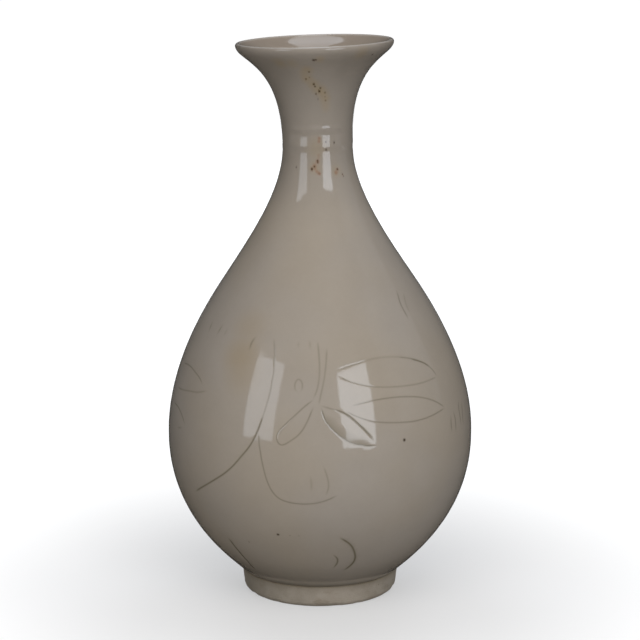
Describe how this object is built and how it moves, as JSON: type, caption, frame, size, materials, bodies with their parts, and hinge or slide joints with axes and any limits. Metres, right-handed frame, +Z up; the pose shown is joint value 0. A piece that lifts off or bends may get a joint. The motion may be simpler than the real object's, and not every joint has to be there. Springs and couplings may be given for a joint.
{
  "type": "yuhuchunping vase",
  "caption": "Pear-shaped glazed stoneware bottle vase with a slender neck, a flared trumpet mouth and an unglazed turned foot ring, for holding flowers or liquid.",
  "frame": {"origin": "centre of the standing face of the foot ring, on the surface that the vase stands on", "axes": "+Z up along the lower body's turning axis; -X is the side that the upper body, neck and mouth lean towards; the incised front faces -Y"},
  "size_m": [0.1654, 0.1654, 0.3012],
  "materials": {
    "clay": "matt fired stoneware",
    "slip": "matt fired slip",
    "glaze": "glossy warm grey glaze",
    "lining": "glossy warm grey glaze"
  },
  "bodies": {
    "root": {"foot_ring": "clay", "foot_slip": "slip", "lower_body": "clay", "belly_slip": "slip", "upper_body": "clay", "neck_slip": "slip", "trumpet_neck": "clay", "outer_glaze": "glaze", "inner_glaze": "lining"}
  },
  "joints": []
}
